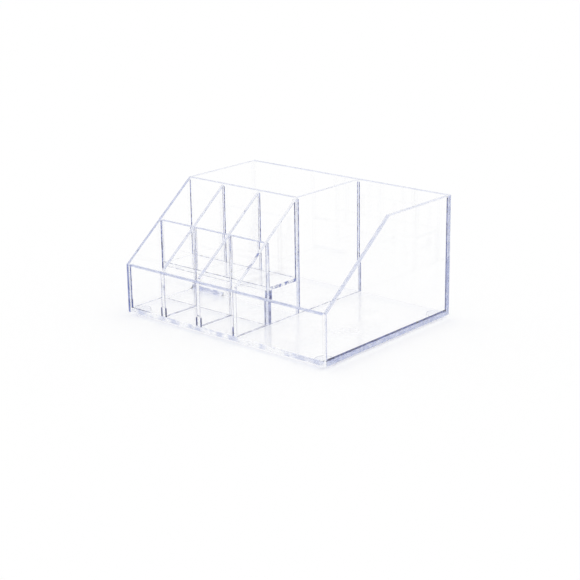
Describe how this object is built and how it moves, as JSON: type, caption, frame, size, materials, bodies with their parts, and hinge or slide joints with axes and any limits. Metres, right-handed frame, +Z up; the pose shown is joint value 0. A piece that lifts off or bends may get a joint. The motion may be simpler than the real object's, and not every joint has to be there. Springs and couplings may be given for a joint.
{
  "type": "clear desktop cosmetics organiser",
  "caption": "Open clear-sheet organiser on low round feet: tiered square cells with sloping dividers at the front left, a long bay behind them and a deep bin at the right.",
  "frame": {"origin": "centre of the footprint, on the surface that the feet stand on", "axes": "+X to the right along the width, +Y from the low front to the high back, +Z up"},
  "size_m": [0.175, 0.13, 0.085],
  "materials": {
    "clear_acrylic": "clear cast acrylic sheet with polished edges",
    "clear_bumper": "clear soft polyurethane bumper"
  },
  "bodies": {
    "root": {"base_plate": "clear_acrylic", "left_side_panel": "clear_acrylic", "right_side_panel": "clear_acrylic", "front_panel": "clear_acrylic", "back_panel": "clear_acrylic", "bin_partition": "clear_acrylic", "rear_cell_wall": "clear_acrylic", "middle_cell_wall": "clear_acrylic", "raised_cell_floor": "clear_acrylic", "left_cell_divider": "clear_acrylic", "right_cell_divider": "clear_acrylic", "foot_front_left": "clear_bumper", "foot_front_right": "clear_bumper", "foot_back_left": "clear_bumper", "foot_back_right": "clear_bumper"}
  },
  "joints": []
}
